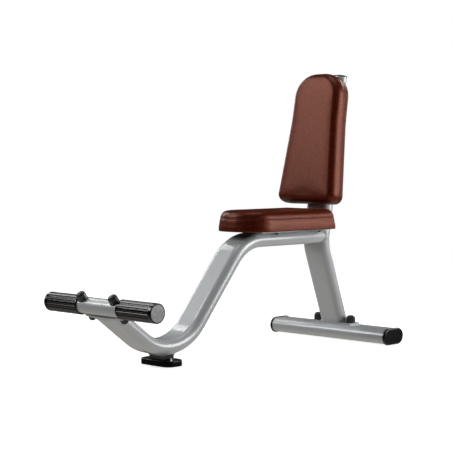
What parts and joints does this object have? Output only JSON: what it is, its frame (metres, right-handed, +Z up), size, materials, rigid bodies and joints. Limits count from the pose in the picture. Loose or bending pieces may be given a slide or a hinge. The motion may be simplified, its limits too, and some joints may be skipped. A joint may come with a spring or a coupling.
{
  "type": "upright bench",
  "caption": "Upright exercise bench with a fixed padded seat, a reclined back pad and a cross-bar footrest on a bent flat-oval tube frame.",
  "frame": {"origin": "on the floor, in the plane of symmetry, at the middle of the bench's length", "axes": "+X to the right seen from the front, -Y to the front where the footrest is, +Z up"},
  "size_m": [0.557, 1.2492, 0.9916],
  "materials": {
    "frame_paint": "silver metallic powder coat, satin gloss",
    "grip_rubber": "smooth black rubber, semi-gloss",
    "foot_rubber": "black moulded rubber",
    "cap_plastic": "black moulded plastic",
    "cover_plastic": "dark grey moulded plastic",
    "disc_metal": "satin grey",
    "zinc_steel": "zinc plated",
    "plywood": "raw plywood",
    "pad_foam": "upholstery foam",
    "pad_cover": "brown synthetic leather with a fine grain"
  },
  "bodies": {
    "root": {"back_board": "plywood", "back_bolts": "zinc_steel", "back_cover": "pad_cover", "back_foam": "pad_foam", "back_plate_lower": "frame_paint", "back_plate_upper": "frame_paint", "back_tee_nuts": "zinc_steel", "back_washers": "zinc_steel", "footrest_bar": "frame_paint", "footrest_bolt_covers": "cover_plastic", "footrest_bolts": "zinc_steel", "footrest_disc_left": "disc_metal", "footrest_disc_right": "disc_metal", "footrest_grip_left": "grip_rubber", "footrest_grip_right": "grip_rubber", "footrest_nut_covers": "cover_plastic", "footrest_nuts": "zinc_steel", "footrest_plate": "frame_paint", "footrest_saddles": "cover_plastic", "footrest_washers": "zinc_steel", "front_foot_nuts": "zinc_steel", "front_foot_pad": "foot_rubber", "front_foot_plate": "frame_paint", "front_foot_screws": "zinc_steel", "front_foot_stub": "frame_paint", "main_tube": "frame_paint", "post_cap": "cap_plastic", "rear_bolt_covers": "cover_plastic", "rear_bolts": "zinc_steel", "rear_foot_plate": "frame_paint", "rear_nuts": "zinc_steel", "rear_post": "frame_paint", "rear_washers": "zinc_steel", "seat_board": "plywood", "seat_bolts": "zinc_steel", "seat_cover": "pad_cover", "seat_foam": "pad_foam", "seat_plate": "frame_paint", "seat_tee_nuts": "zinc_steel", "seat_washers": "zinc_steel", "stabilizer_cap_left": "cap_plastic", "stabilizer_cap_right": "cap_plastic", "stabilizer_tube": "frame_paint", "weld_beads": "frame_paint"}
  },
  "joints": []
}
